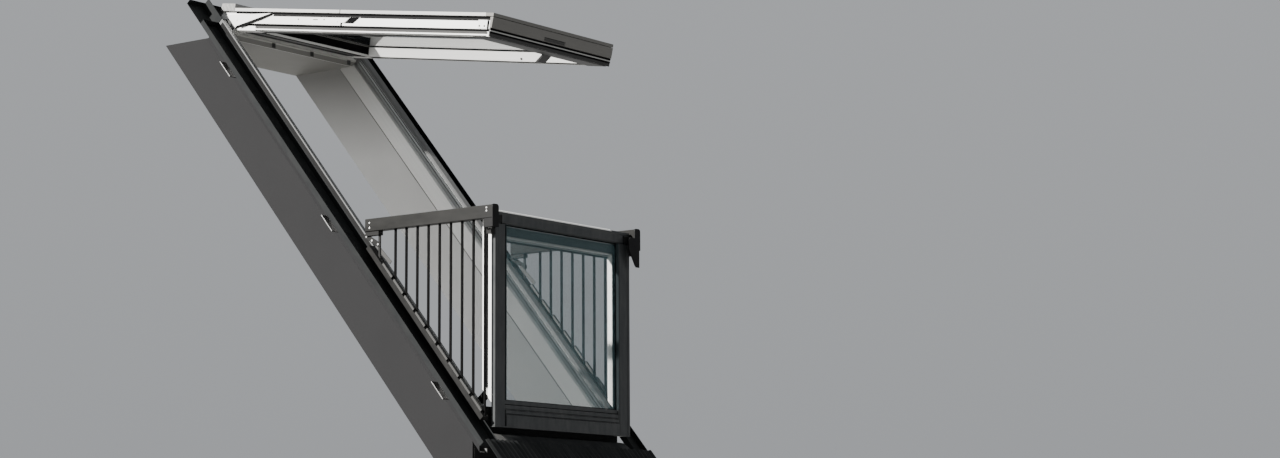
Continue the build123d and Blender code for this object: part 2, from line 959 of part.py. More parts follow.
def bottom_flange():
    """Steel angle that carries the sill on the roof deck."""
    half = flange_length / 2
    flat = block(-flange_width / 2, flange_width / 2, -half, half, 0, flange_sheet)
    leg = block(-flange_width / 2, flange_width / 2, half - flange_sheet, half,
                timber_back, flange_sheet)
    angle = flat + leg
    places = [(index - 1.5) * flange_hole_spacing for index in range(4)]
    for hole in flange_holes(places, 0, flange_hole):
        angle -= hole
    return roof_place * angle


def side_brackets():
    """Steel angles that carry a jamb on the roof deck."""
    brackets = []
    for place in side_bracket_places:
        half = side_bracket_length / 2
        flat = block(half_frame, half_frame + side_bracket_reach, place - half, place + half,
                     0, flange_sheet)
        leg = block(half_frame, half_frame + flange_sheet, place - half, place + half,
                    0, flashing_floor - side_bracket_play)
        angle = flat + leg
        x = half_frame + side_bracket_reach * side_bracket_hole_place
        for y in (place - half / 2, place + half / 2):
            for hole in flange_holes([x], y, flange_hole):
                angle -= hole
        brackets.append(roof_place * angle)
    return Compound(children=[solid for angle in brackets for solid in angle.solids()])


os.makedirs("parts", exist_ok=True)

save_pair("frame_jamb", frame_jamb())
save("frame_head", frame_head())
save("frame_sill", frame_sill())
save_pair("jamb_cover", jamb_cover())
save("head_cover", head_cover())
save_pair("lining", side_lining())
save("bottom_lining", bottom_lining())
save("head_lining", head_lining())

save_pair("lower_stile", lower_stile())
top_low = lower_height - lower_top_rail_height
save("lower_top_rail", lower_rail(top_low, lower_height - lower_top_rail_drop, pane_high))
save("lower_bottom_rail", lower_rail(lower_stile_lift, lower_bottom_rail_height, pane_low))
save("lower_pane", lower_pane())
save_pair("lower_side_cover", lower_side_cover())
save("lower_top_cover", lower_top_cover())
save("lower_bottom_cover", lower_bottom_cover())
save("bottom_hinges", both(bottom_hinge()))

save_pair("upper_stile", upper_stile())
upper_top_far = upper_end_gap + upper_top_rail_height
save("upper_top_rail", upper_rail(upper_end_gap, upper_top_far, False))
outer_near = upper_length - upper_bottom_rail_height
save("upper_outer_rail", upper_rail(outer_near, upper_length, True))
save("upper_pane", upper_pane())
save_pair("upper_side_cover", upper_side_cover())
save("upper_end_cover", upper_end_cover())
save("upper_front_cover", upper_front_cover())
save("hood", hood())
save_pair("hinge_arm", hinge_arm())
save("hinge_plates", both(hinge_plate()))
save("head_hinges", both(head_hinge()))
save("struts", both(strut()))
save("upper_handle", handle())

save_pair("handrail", handrail())
save_pair("balusters", balusters())
save_pair("base_rail", base_rail())
save("foot_links", both(foot_links()))
save("rear_brackets", both(rear_bracket()))
save("front_caps", both(front_cap()))
save("lock_plate", lock_plate())
save("corner_brackets", both(corner_bracket()))

save_pair("flashing", side_flashing())
save("head_flashing", head_flashing())
save("apron", apron())
save("bottom_flange", bottom_flange())
save("side_brackets", both(side_brackets()))
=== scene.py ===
from math import cos, pi, radians, sin

import bmesh
import bpy
from mathutils import Matrix, Vector


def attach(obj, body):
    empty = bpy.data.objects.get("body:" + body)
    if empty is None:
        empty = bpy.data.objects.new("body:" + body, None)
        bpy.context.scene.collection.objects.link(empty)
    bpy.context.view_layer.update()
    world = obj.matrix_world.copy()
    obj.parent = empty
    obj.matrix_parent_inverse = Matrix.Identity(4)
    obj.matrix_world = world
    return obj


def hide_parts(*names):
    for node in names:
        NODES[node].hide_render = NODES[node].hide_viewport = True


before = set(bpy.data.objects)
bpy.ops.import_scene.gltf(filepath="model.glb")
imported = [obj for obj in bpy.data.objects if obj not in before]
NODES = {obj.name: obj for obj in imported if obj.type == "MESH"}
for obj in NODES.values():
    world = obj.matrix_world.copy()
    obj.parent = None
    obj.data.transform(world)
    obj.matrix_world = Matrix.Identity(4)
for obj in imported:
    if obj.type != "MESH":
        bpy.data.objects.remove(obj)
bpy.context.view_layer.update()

# Balcony roof window, open. Millimetres in the flat frames below, metres in the scene.
# ROOF, LOWER and UPPER have x across, y up the piece and z outwards. LEVEL starts at the foot
# of the lower sash and SCENE at the scene's origin, both with y into the roof and z up.
MM = 0.001
PITCH = radians(50.0)
TILT = radians(8.6)
UPRIGHT = pi / 2
FOOT_ALONG = 30.0
FOOT_OUT = 80.0
HINGE_ALONG = 2653.0
HINGE_OUT = 75.0


def roof_point(along, out):
    """Y and z of a point that is given up the roof and out of it."""
    return (along * cos(PITCH) - out * sin(PITCH), along * sin(PITCH) + out * cos(PITCH))


FOOT_Y, FOOT_Z = roof_point(FOOT_ALONG, FOOT_OUT)
HINGE_Y, HINGE_Z = roof_point(HINGE_ALONG, HINGE_OUT)
SCENE = Matrix.Identity(4)
ROOF = Matrix.Rotation(PITCH, 4, "X")
LOWER = Matrix.Translation((0, FOOT_Y, FOOT_Z)) @ Matrix.Rotation(UPRIGHT, 4, "X")
UPPER = Matrix.Translation((0, HINGE_Y, HINGE_Z)) @ Matrix.Rotation(TILT, 4, "X")
LEVEL = Matrix.Translation((0, FOOT_Y, FOOT_Z))

# Fixed frame and linings
HALF_OPENING = 421.0
HALF_FRAME = 471.0
HEAD_INNER = 2505.0
TIMBER_BACK = -45.0
JAMB_SEAL_START = 150.0
LINING_INNER = 424.0
LINING_START = 130.0

# The frame and the linings are dark on their outer sides, from these places across
JAMB_MEMBRANE = HALF_FRAME - 2.8
LINING_MEMBRANE = LINING_INNER + 11.2

# Upper sash: half widths, lengths from the hinge, and depth of its underside
HALF_UPPER = 412.0
HALF_COVER = 419.0
ARM_OUTER = 417.3
UPPER_LENGTH = 1645.0
UPPER_UNDER = -101.0
UPPER_PANE_HALF = 355.0
UPPER_PANE_NEAR = 232.0
UPPER_PANE_FAR = 1563.0
UPPER_SIGHT = 342.0
UPPER_SIGHT_NEAR = 245.0
UPPER_SIGHT_FAR = 1550.0
FRONT_COVER = 13.5

# Lower sash: half widths, and heights over its foot
HALF_SASH = 464.0
LOWER_PANE_HALF = 407.0
LOWER_PANE_LOW = 102.0
LOWER_PANE_HIGH = 861.0
LOWER_SIGHT = 389.0
LOWER_SIGHT_LOW = 115.0
LOWER_SIGHT_HIGH = 851.0

# Side railings
RAIL_OUTER = 512.0
RAIL_TOP = 921.0
RAIL_FRONT = -21.5

# How far thin pieces keep off a face, sink into it or stand proud of it
OFF_FACE = 0.1
SUNK = 0.2
PROUD = 0.4

# Seal around the space in a pane, and how shapes and their edges are drawn
EDGE_SEAL = 6.0
DISC_SIDES = 16
SHARP = 0.0
WELD_DISTANCE = 0.00001
BEVEL_SEGMENTS = 2
BEVEL_ANGLE = radians(30)


# Procedural finishes, with sizes in metres

COAT_ROUGHNESS = 0.15
DUST_COLOR = (0.35, 0.34, 0.31)
DUST_PATCH = (0.03, 0.09, 0.03)
GLOSS_GRAIN = 1.7
MEMBRANE_DARK = (0.010, 0.010, 0.0105)
MEMBRANE_LIGHT = (0.018, 0.018, 0.0185)
MEMBRANE_GLEAM = 0.04
BACK_FACING = 0.5
FOOT_END_FACING = -0.95
GLASS_TONE = 0.2

WHITE = (0.80, 0.80, 0.78)
ANTHRACITE = (0.0175, 0.0200, 0.0215)
LINING_WHITE = (0.60, 0.598, 0.585)

# Painted shade: white turns grey towards the head, standing in for the deep shade there; the greys,
# and the heights in metres for the turn
HEAD_SHADE = (0.15, 0.148, 0.137)
SIDE_SHADE = (0.15, 0.149, 0.143)
SIDE_SHADE_HEIGHTS = (1.45, 1.9)
JAMB_SHADE = (0.25, 0.25, 0.24)
JAMB_SHADE_HEIGHTS = (1.5, 1.95)


def even(value):
    """The same value for all three channels or directions."""
    return (value, value, value)


def new_material(name):
    material = bpy.data.materials.new(name)
    material.use_nodes = True
    tree = material.node_tree
    return material, tree, tree.nodes["Principled BSDF"]


def finished(material):
    """The tree, the shader and the colour of a material that has its finish."""
    tree = material.node_tree
    shader = tree.nodes["Principled BSDF"]
    return tree, shader, shader.inputs["Base Color"].links[0].from_socket


def add_node(tree, kind, **settings):
    node = tree.nodes.new(kind)
    for name, value in settings.items():
        setattr(node, name, value)
    return node


def surface(tree, kind):
    """X, Y and Z of the surface's Position or Normal."""
    source = add_node(tree, "ShaderNodeNewGeometry")
    split = add_node(tree, "ShaderNodeSeparateXYZ")
    tree.links.new(source.outputs[kind], split.inputs["Vector"])
    return split.outputs


def result(tree, operation, first, second=0.0, **settings):
    """A sum or a comparison of a socket with another socket or a number."""
    node = add_node(tree, "ShaderNodeMath", operation=operation, **settings)
    tree.links.new(first, node.inputs[0])
    if isinstance(second, float):
        node.inputs[1].default_value = second
    else:
        tree.links.new(second, node.inputs[1])
    return node.outputs["Value"]


def local_points(tree, turn, size):
    """Points of the piece in its own flat frame, in units of a feature's size."""
    source = add_node(tree, "ShaderNodeTexCoord")
    mapping = add_node(tree, "ShaderNodeMapping", vector_type="TEXTURE")
    mapping.inputs["Rotation"].default_value = (turn, 0, 0)
    mapping.inputs["Scale"].default_value = size
    tree.links.new(source.outputs["Object"], mapping.inputs["Vector"])
    return mapping.outputs["Vector"]


def noise(tree, turn, size, detail, rough=0.55):
    texture = add_node(tree, "ShaderNodeTexNoise")
    texture.inputs["Scale"].default_value = 1.0
    texture.inputs["Detail"].default_value = detail
    texture.inputs["Roughness"].default_value = rough
    tree.links.new(local_points(tree, turn, size), texture.inputs["Vector"])
    return texture.outputs["Fac"]


def spread(tree, value, low, high, start=0.3, stop=0.7):
    """The value's range from start to stop, stretched between two results."""
    node = add_node(tree, "ShaderNodeMapRange")
    node.inputs["From Min"].default_value = start
    node.inputs["From Max"].default_value = stop
    node.inputs["To Min"].default_value = low
    node.inputs["To Max"].default_value = high
    tree.links.new(value, node.inputs["Value"])
    return node.outputs["Result"]


def mixed(tree, factor, first, second):
    """A colour between two, each a colour or a socket that gives one."""
    node = add_node(tree, "ShaderNodeMix", data_type="RGBA")
    tree.links.new(factor, node.inputs["Factor"])
    for place, color in (("A", first), ("B", second)):
        socket = next(s for s in node.inputs if s.name == place and s.type == "RGBA")
        if isinstance(color, tuple):
            socket.default_value = (*color, 1)
        else:
            tree.links.new(color, socket)
    return next(s for s in node.outputs if s.type == "RGBA")


def shaded(color, factor):
    return tuple(channel * factor for channel in color)


def toned(tree, wander, color, tone):
    """The colour, darker where the noise is low and lighter where it is high."""
    return mixed(tree, spread(tree, wander, 0.0, 1.0), shaded(color, 1 - tone),
                 shaded(color, 1 + tone))


def dusted(tree, turn, base, dust):
    """The colour with patches of dust, most of it on faces that look up."""
    upward = spread(tree, surface(tree, "Normal")["Z"], 0.15, 1.0, start=-0.2, stop=0.9)
    patches = spread(tree, noise(tree, turn, DUST_PATCH, detail=6.0, rough=0.65), 0.0, dust,
                     start=0.35, stop=0.75)
    amount = result(tree, "MULTIPLY", upward, patches, use_clamp=True)
    return mixed(tree, amount, base, DUST_COLOR)


def finish(name, color, rough, metal=0.0, turn=0.0, grain=even(0.05), tone=0.1,
           rough_change=0.08, bump_size=even(0.002), bump=0.1, depth=0.0003, dust=0.0,
           coat=0.0, gleam=0.5):
    """A surface with tone and gloss that wander along its grain, fine relief and dust."""
    material, tree, shader = new_material(name)
    base = toned(tree, noise(tree, turn, grain, detail=5.0), color, tone)
    if dust:
        base = dusted(tree, turn, base, dust)
    tree.links.new(base, shader.inputs["Base Color"])
    gloss = noise(tree, turn, tuple(GLOSS_GRAIN * side for side in grain), detail=3.0)
    tree.links.new(spread(tree, gloss, rough - rough_change, rough + rough_change),
                   shader.inputs["Roughness"])
    relief = add_node(tree, "ShaderNodeBump")
    relief.inputs["Strength"].default_value = bump
    relief.inputs["Distance"].default_value = depth
    tree.links.new(noise(tree, turn, bump_size, detail=3.0), relief.inputs["Height"])
    tree.links.new(relief.outputs["Normal"], shader.inputs["Normal"])
    shader.inputs["Metallic"].default_value = metal
    shader.inputs["Specular IOR Level"].default_value = gleam
    if coat:
        shader.inputs["Coat Weight"].default_value = coat
        shader.inputs["Coat Roughness"].default_value = COAT_ROUGHNESS
    return material


def timber(name, turn, along_x=False):
    """White lacquered timber with a faint grain along the piece."""
    grain = (0.5, 0.006, 0.006) if along_x else (0.006, 0.5, 0.006)
    fine = (0.08, 0.0012, 0.0012) if along_x else (0.0012, 0.08, 0.0012)
    return finish(name, WHITE, 0.34, turn=turn, grain=grain, tone=0.035, bump_size=fine,
                  bump=0.25, depth=0.0004, dust=0.12, coat=0.25)


def coated(name, color, rough, turn=0.0, along_x=False, dust=0.1, tone=0.08, gleam=0.35):
    """Powder-coated sheet: orange peel, faint streaks along it and dust on top."""
    grain = (0.6, 0.06, 0.06) if along_x else (0.06, 0.6, 0.06)
    return finish(name, color, rough, turn=turn, grain=grain, tone=tone,
                  bump_size=even(0.0016), bump=0.12, dust=dust, gleam=gleam)


def brushed(name, color, rough, turn=0.0, along_x=False):
    """Bare metal with fine drawn lines along it."""
    grain = (0.4, 0.0014, 0.0014) if along_x else (0.0014, 0.4, 0.0014)
    return finish(name, color, rough, metal=1.0, turn=turn, grain=grain, tone=0.12,
                  bump_size=grain, bump=0.3, depth=0.0001, rough_change=0.1)


def backed(material, back, limit):
    """The material's finish, with a dark membrane on the side towards the roof."""
    tree, shader, painted = finished(material)
    facing = surface(tree, "Normal")
    if back == "sides":
        across = result(tree, "ABSOLUTE", surface(tree, "Position")["X"])
        outside = result(tree, "GREATER_THAN", across, limit * MM)
        foot_end = result(tree, "LESS_THAN", facing["Y"], FOOT_END_FACING)
        hidden = result(tree, "MAXIMUM", outside, foot_end)
    elif back == "top":
        hidden = result(tree, "GREATER_THAN", facing["Z"], BACK_FACING)
    else:
        hidden = result(tree, "LESS_THAN", facing["Y"], -BACK_FACING)
    fibres = noise(tree, 0.0, even(0.004), detail=6.0, rough=0.7)
    raw = mixed(tree, spread(tree, fibres, 0.0, 1.0), MEMBRANE_DARK, MEMBRANE_LIGHT)
    tree.links.new(mixed(tree, hidden, painted, raw), shader.inputs["Base Color"])
    tree.links.new(spread(tree, hidden, 0.5, MEMBRANE_GLEAM, start=0.0, stop=1.0),
                   shader.inputs["Specular IOR Level"])
    return material


def with_painted_shade(material, heights, color):
    """The material with painted shade: its colour turns darker between two heights."""
    tree, shader, painted = finished(material)
    amount = spread(tree, surface(tree, "Position")["Z"], 0.0, 1.0, *heights)
    tree.links.new(mixed(tree, amount, painted, color), shader.inputs["Base Color"])
    return material


def lining(name, back):
    """Matt board with a membrane on its back, grey at the head and darker towards it: painted
    shade.
    """
    color = HEAD_SHADE if back == "top" else LINING_WHITE
    board = finish(name, color, 0.6, grain=even(0.25), tone=0.03, bump_size=even(0.0025),
                   bump=0.12)
    if back == "sides":
        # Painted shade: the side linings darken towards the head
        board = with_painted_shade(board, SIDE_SHADE_HEIGHTS, SIDE_SHADE)
    return backed(board, back, LINING_MEMBRANE)


def glass(name, color, clear, veiled, ior):
    """Coated glass: see-through when faced, and mirror-like along a grazing view."""
    material, tree, shader = new_material(name)
    film = noise(tree, 0.0, (0.5, 0.12, 0.05), detail=4.0, rough=0.6)
    tree.links.new(toned(tree, film, color, GLASS_TONE), shader.inputs["Base Color"])
    edge = add_node(tree, "ShaderNodeLayerWeight")
    edge.inputs["Blend"].default_value = 0.5
    tree.links.new(spread(tree, edge.outputs["Facing"], clear, veiled, start=0.55, stop=0.95),
                   shader.inputs["Alpha"])
    smear = noise(tree, 0.0, (0.09, 0.09, 0.02), detail=5.0, rough=0.6)
    tree.links.new(spread(tree, smear, 0.004, 0.03), shader.inputs["Roughness"])
    shader.inputs["IOR"].default_value = ior
    return material


# Black rubber, also used as painted shadow along the hinge plate's edge
RUBBER_AND_SHADOW = finish("black_rubber_and_painted_shadow", (0.0025, 0.0025, 0.0027), 0.75, grain=even(0.01), tone=0.2,
                bump=0.15, gleam=0.03)
PLASTIC = finish("black_plastic", (0.006, 0.006, 0.0063), 0.5, grain=even(0.02), tone=0.15,
                 bump_size=even(0.0009), bump=0.3, dust=0.02, gleam=0.1)
STAY_BLACK = coated("stay_coat", even(0.003), 0.5, TILT, dust=0.0, tone=0.2, gleam=0.03)
SLATE = coated("pane_border_enamel", (0.032, 0.042, 0.045), 0.4, UPRIGHT, along_x=True,
               dust=0.0, tone=0.12, gleam=0.1)
# Painted highlight: white for the glint along the lower sash's top edge
PAINTED_EDGE_HIGHLIGHT = coated("painted_edge_highlight", (0.9, 0.9, 0.88), 0.3, along_x=True, dust=0.0)
ZINC = brushed("zinc_screws", (0.55, 0.55, 0.54), 0.35)
SPACER = brushed("spacer_bar", (0.42, 0.43, 0.44), 0.4)
# Dark profiles, also used as painted shade under the hinged rail
DARK_PROFILE_AND_SHADE = coated("dark_profile_and_painted_shade", even(0.02), 0.5, TILT, along_x=True)
LIGHT_STRIP = coated("light_strip", (0.32, 0.32, 0.31), 0.35, TILT, along_x=True, dust=0.05)
GREY_STRIP = coated("grey_strip", (0.05, 0.05, 0.049), 0.5, TILT, dust=0.02, tone=0.1,
                    gleam=0.05)
# Near black for dark seals and channels, and for painted shade on the upper stiles
DARK_SEAL_AND_SHADE = coated("dark_seal_and_painted_shade", even(0.012), 0.6, TILT, dust=0.0, tone=0.1, gleam=0.03)
BRIGHT_EDGE = coated("bright_edge", (0.5, 0.5, 0.485), 0.35, PITCH, along_x=True, dust=0.0)
HEAD_EDGE = coated("head_edge_grey", (0.3, 0.3, 0.28), 0.4, PITCH, along_x=True, dust=0.0)
HEAD_GREY = coated("head_band_grey", (0.13, 0.129, 0.12), 0.5, PITCH, along_x=True, dust=0.0)
SEAL_GREY = coated("jamb_seal_grey", (0.34, 0.355, 0.352), 0.45, PITCH, dust=0.0, tone=0.15)
VENT_GREY = coated("vent_grey", (0.07, 0.068, 0.063), 0.45, TILT, along_x=True, dust=0.0)
MID_GREY = coated("corner_grey", (0.014, 0.014, 0.0138), 0.5, dust=0.03, tone=0.15, gleam=0.05)
WHITE_METAL = coated("white_fitting", (0.72, 0.72, 0.70), 0.35, TILT, tone=0.05)
UPPER_GLASS = glass("upper_glass", (0.010, 0.013, 0.014), clear=0.1, veiled=1.0, ior=2.4)
LOWER_GLASS = glass("lower_glass", (0.085, 0.165, 0.182), clear=0.15, veiled=0.95, ior=1.6)

LOOKS = {
    # Painted shade: the white jamb timber darkens towards the head
    "left_frame_jamb": backed(with_painted_shade(timber("jamb_timber", PITCH), JAMB_SHADE_HEIGHTS,
                                     JAMB_SHADE), "sides", JAMB_MEMBRANE),
    "frame_head": timber("head_timber", PITCH, along_x=True),
    "left_lower_stile": timber("lower_stile_timber", UPRIGHT),
    "lower_top_rail": timber("lower_rail_timber", UPRIGHT, along_x=True),
    "left_upper_stile": timber("upper_stile_timber", TILT),
    "upper_outer_rail": timber("upper_rail_timber", TILT, along_x=True),
    "left_lining": lining("side_lining_board", "sides"),
    "head_lining": lining("head_lining_board", "top"),
    "bottom_lining": lining("foot_lining_board", "front"),
    # Painted light: the jamb covers' dark coat is lifted to a light grey that stands in for
    # sunlight on it
    "left_jamb_cover": coated("jamb_cover_painted_sunlight", (0.105, 0.107, 0.107), 0.5, PITCH, gleam=0.12),
    "head_cover": coated("head_cover_coat", ANTHRACITE, 0.36, PITCH, along_x=True),
    "left_lower_side_cover": coated("side_cover_coat", ANTHRACITE, 0.34, UPRIGHT, dust=0.2),
    "lower_top_cover": coated("top_cover_coat", ANTHRACITE, 0.3, UPRIGHT, along_x=True,
                              dust=0.3),
    "left_upper_side_cover": coated("upper_cover_coat", (0.42, 0.42, 0.41), 0.32, TILT,
                                    dust=0.05),
    "upper_front_cover": coated("front_cover_coat", (0.115, 0.112, 0.104), 0.42, TILT,
                                along_x=True, dust=0.05),
    "hood": coated("hood_coat", (0.2, 0.2, 0.198), 0.36, TILT, along_x=True, dust=0.05),
    "left_hinge_arm": WHITE_METAL,
    "head_hinges": brushed("hinge_steel", even(0.45), 0.4),
    "struts": STAY_BLACK,
    "upper_handle": coated("handle_coat", (0.02, 0.02, 0.021), 0.35, along_x=True),
    "left_handrail": coated("handrail_coat", (0.014, 0.014, 0.0135), 0.45, dust=0.05,
                            tone=0.35, gleam=0.04),
    "left_balusters": coated("bar_coat", (0.0022, 0.0022, 0.0023), 0.5, UPRIGHT, dust=0.01,
                             tone=0.2, gleam=0.02),
    "left_base_rail": coated("base_rail_coat", even(0.009), 0.5, PITCH, tone=0.35, gleam=0.04),
    "foot_links": brushed("link_aluminium", (0.045, 0.045, 0.044), 0.5, PITCH),
    "front_caps": PLASTIC,
    "corner_brackets": MID_GREY,
    # Dark coat with painted shade: the flashings are darker than the covers to stand in for the
    # shade they lie in
    "left_flashing": coated("flashing_coat_and_painted_shade", (0.009, 0.010, 0.0105), 0.55, PITCH, dust=0.05,
                            tone=0.15, gleam=0.06),
    "bottom_flange": brushed("flange_zinc", even(0.16), 0.5, PITCH, along_x=True),
}
SAME_LOOK = {
    "left_frame_jamb": ("right_frame_jamb",),
    "frame_head": ("frame_sill",),
    "left_lower_stile": ("right_lower_stile",),
    "lower_top_rail": ("lower_bottom_rail",),
    "left_upper_stile": ("right_upper_stile",),
    "upper_outer_rail": ("upper_top_rail",),
    "left_lining": ("right_lining",),
    "left_jamb_cover": ("right_jamb_cover",),
    "left_lower_side_cover": ("right_lower_side_cover",),
    "lower_top_cover": ("lower_bottom_cover",),
    "left_upper_side_cover": ("right_upper_side_cover",),
    "upper_front_cover": ("upper_end_cover",),
    "left_hinge_arm": ("right_hinge_arm", "hinge_plates"),
    "struts": ("bottom_hinges",),
    "left_handrail": ("right_handrail",),
    "left_balusters": ("right_balusters",),
    "left_base_rail": ("right_base_rail",),
    "front_caps": ("lock_plate",),
    "corner_brackets": ("rear_brackets",),
    "left_flashing": ("right_flashing", "head_flashing", "apron"),
    "bottom_flange": ("side_brackets",),
}

# Widths of the rounded edges
NODE_EDGE = 0.5
PIECE_EDGE = 0.4
EDGE_WIDTH = {"left_handrail": 3.0, "lower_top_cover": 1.6, "left_frame_jamb": 2.0,
              "left_lower_stile": 2.0, "left_upper_stile": 2.0, "upper_front_cover": 1.5,
              "left_upper_side_cover": 1.5, "hood": 1.0}


def soften(thing, width):
    """Rounded edges that catch the light."""
    thing.modifiers.new("weld", "WELD").merge_threshold = WELD_DISTANCE
    edges = thing.modifiers.new("soft_edges", "BEVEL")
    edges.width = width * MM
    edges.segments = BEVEL_SEGMENTS
    edges.limit_method = "ANGLE"
    edges.angle_limit = BEVEL_ANGLE
    edges.harden_normals = True


for leader, material in LOOKS.items():
    for name in (leader, *SAME_LOOK.get(leader, ())):
        node = NODES[name]
        for place in node.material_slots:
            place.material = material
        soften(node, EDGE_WIDTH.get(leader, NODE_EDGE))


# Shapes for the smaller pieces, each a list of points and a list of faces


def box(across, along, deep):
    """A block from its spans in x, y and z."""
    points = [(x, y, z) for x in across for y in along for z in deep]
    faces = [(0, 1, 3, 2), (4, 6, 7, 5), (0, 4, 5, 1), (2, 3, 7, 6), (0, 2, 6, 4), (1, 5, 7, 3)]
    return points, faces


def prism(outline, across):
    """An outline in y and z, drawn out over a span in x."""
    count = len(outline)
    points = [(x, y, z) for x in across for y, z in outline]
    faces = [tuple(range(count)), tuple(range(count, 2 * count))]
    for index in range(count):
        after = (index + 1) % count
        faces.append((index, after, count + after, count + index))
    return points, faces


def disc(x, y, z, radius, height):
    """A round head standing on a point of a side face."""
    angles = [2 * pi * k / DISC_SIDES for k in range(DISC_SIDES)]
    outline = [(y + radius * cos(angle), z + radius * sin(angle)) for angle in angles]
    return prism(outline, (x, x + height))


def mirrored(shapes):
    """The shapes and their mirror images across the middle of the window."""
    return shapes + [([(-x, y, z) for x, y, z in points], faces) for points, faces in shapes]


def ring(half, along, width, deep):
    """Four strips around a rectangle, inside its edge."""
    low, high = along
    inner = half - width
    return [box((-half, -inner), along, deep), box((inner, half), along, deep),
            box((-inner, inner), (low, low + width), deep),
            box((-inner, inner), (high - width, high), deep)]


def piece(name, place, shapes, material, edge=PIECE_EDGE, stands_for=()):
    """One named piece of the scene, made of shapes in one flat frame."""
    mesh = bpy.data.meshes.new(name)
    work = bmesh.new()
    for points, faces in shapes:
        corners = [work.verts.new(place @ Vector(point)) for point in points]
        for face in faces:
            work.faces.new([corners[index] for index in face])
    bmesh.ops.recalc_face_normals(work, faces=work.faces)
    bmesh.ops.scale(work, vec=(MM, MM, MM), verts=work.verts)
    work.to_mesh(mesh)
    work.free()
    thing = bpy.data.objects.new(name, mesh)
    mesh.materials.append(material)
    bpy.context.scene.collection.objects.link(thing)
    if edge:
        soften(thing, edge)
    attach(thing, "root")
    if stands_for:
        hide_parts(*stands_for)


def glazing(sash, place, look, half, along, outer_sheet, inner_sheet, bar_width):
    """Two sheets of glass, with spacer bars and a seal around the space between them."""
    low, high = along
    space = (inner_sheet[1], outer_sheet[0])
    sheets = [box((-half, half), along, outer_sheet), box((-half, half), along, inner_sheet)]
    piece(f"{sash}_glass_sheets", place, sheets, look, SHARP, (f"{sash}_pane",))
    bars = ring(half - EDGE_SEAL, (low + EDGE_SEAL, high - EDGE_SEAL), bar_width, space)
    piece(f"{sash}_spacer_bars", place, bars, SPACER)
    seal = ring(half, along, EDGE_SEAL, space)
    piece(f"{sash}_edge_seal", place, seal, RUBBER_AND_SHADOW, SHARP)


# Upper sash: places along it count from the hinge and are negative


def upper_glazing():
    outer_sheet, inner_sheet, bar_width = (-23, -17), (-52.7, -44), 8
    glazing("upper", UPPER, UPPER_GLASS, UPPER_PANE_HALF, (-UPPER_PANE_FAR, -UPPER_PANE_NEAR),
            outer_sheet, inner_sheet, bar_width)
    gasket_width, gasket_depth = 4, (-56, -52.8)
    gasket = ring(UPPER_SIGHT, (-UPPER_SIGHT_FAR, -UPPER_SIGHT_NEAR), gasket_width, gasket_depth)
    piece("upper_pane_gasket", UPPER, gasket, RUBBER_AND_SHADOW)


def hinged_rail():
    """Black face, dark plate and thin edges of the rail at the hinged end of the pane; the plate is
    painted shade under the rail.
    """
    side = UPPER_SIGHT
    edge = -UPPER_SIGHT_NEAR
    seal_face, trim_face, list_face = edge - 3, edge - 3.8, edge - 4.4
    face_top, face_foot = -53, -93
    list_inset, list_depth = 4, (-57.5, -54)
    seal_under, plate_under = UPPER_UNDER - 2.5, UPPER_UNDER - 1.5
    plate_start, plate_end = edge + 30, edge + 140
    groove = (edge + 92, edge + 108)
    seals = [box((-side, side), (seal_face, edge - OFF_FACE), (face_foot, face_top)),
             box((-side, side), (edge, plate_start), (seal_under, UPPER_UNDER - OFF_FACE)),
             box((-side, side), groove, (seal_under, plate_under + OFF_FACE))]
    piece("hinged_rail_seals", UPPER, seals, RUBBER_AND_SHADOW)
    # Painted shade: a dark plate across the rail's underside
    plate = box((-side, side), (plate_start, plate_end), (plate_under, UPPER_UNDER - OFF_FACE))
    piece("hinged_rail_painted_shade", UPPER, [plate], DARK_PROFILE_AND_SHADE)
    trim = box((-side, side), (trim_face, edge - OFF_FACE), (seal_under, face_foot))
    piece("hinged_rail_trim", UPPER, [trim], BRIGHT_EDGE)
    thin_list = box((list_inset - side, side - list_inset), (list_face, seal_face), list_depth)
    piece("hinged_rail_list", UPPER, [thin_list], HEAD_GREY, SHARP)


def stile_seals():
    """Seals and the channel between them along the outer side of each stile."""
    outer = HALF_UPPER
    end, seal_start, top_seal_start, channel_start = -1640, -112, -105, -345
    seal_depth, top_seal_depth, channel_depth = (-79.5, -70.5), (-22.5, -15.2), (-31, -22.5)
    seal_across, top_seal_across = (outer - 11.5, outer - 5), (outer - 6, outer - 1)
    channel_across = (outer - 6, outer - 3)
    strips = [box(seal_across, (end, seal_start), seal_depth),
              box(top_seal_across, (end, top_seal_start), top_seal_depth)]
    piece("upper_side_seals", UPPER, mirrored(strips), RUBBER_AND_SHADOW)
    channel = box(channel_across, (end, channel_start), channel_depth)
    piece("upper_side_channels", UPPER, mirrored([channel]), DARK_SEAL_AND_SHADE)


